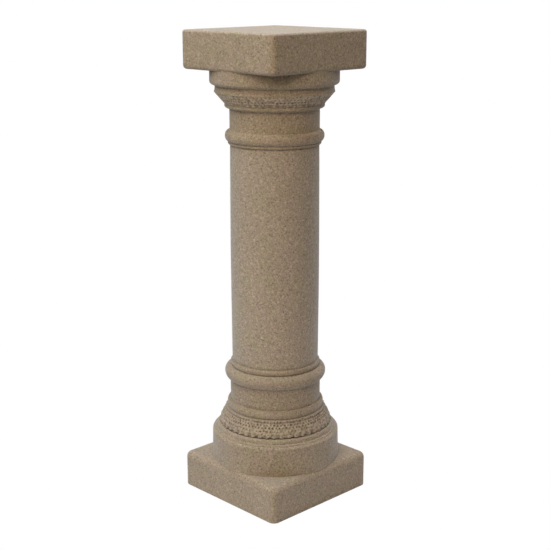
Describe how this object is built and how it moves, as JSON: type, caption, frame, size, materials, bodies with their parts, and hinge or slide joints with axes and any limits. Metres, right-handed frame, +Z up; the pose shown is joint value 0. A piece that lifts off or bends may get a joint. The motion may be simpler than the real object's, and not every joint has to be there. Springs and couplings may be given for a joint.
{
  "type": "garden pedestal",
  "caption": "Garden pedestal: a round stone column with carved leaf bands and turned mouldings between a square plinth and a square top slab.",
  "frame": {"origin": "middle of the plinth's underside", "axes": "+Z up along the column's axis, +X and +Y square to the sides of the slabs"},
  "size_m": [0.2334, 0.2334, 0.81],
  "materials": {
    "cast_stone": "matte, sandy, fine-grained"
  },
  "bodies": {
    "root": {"base": "cast_stone", "shaft": "cast_stone", "capital": "cast_stone"}
  },
  "joints": []
}
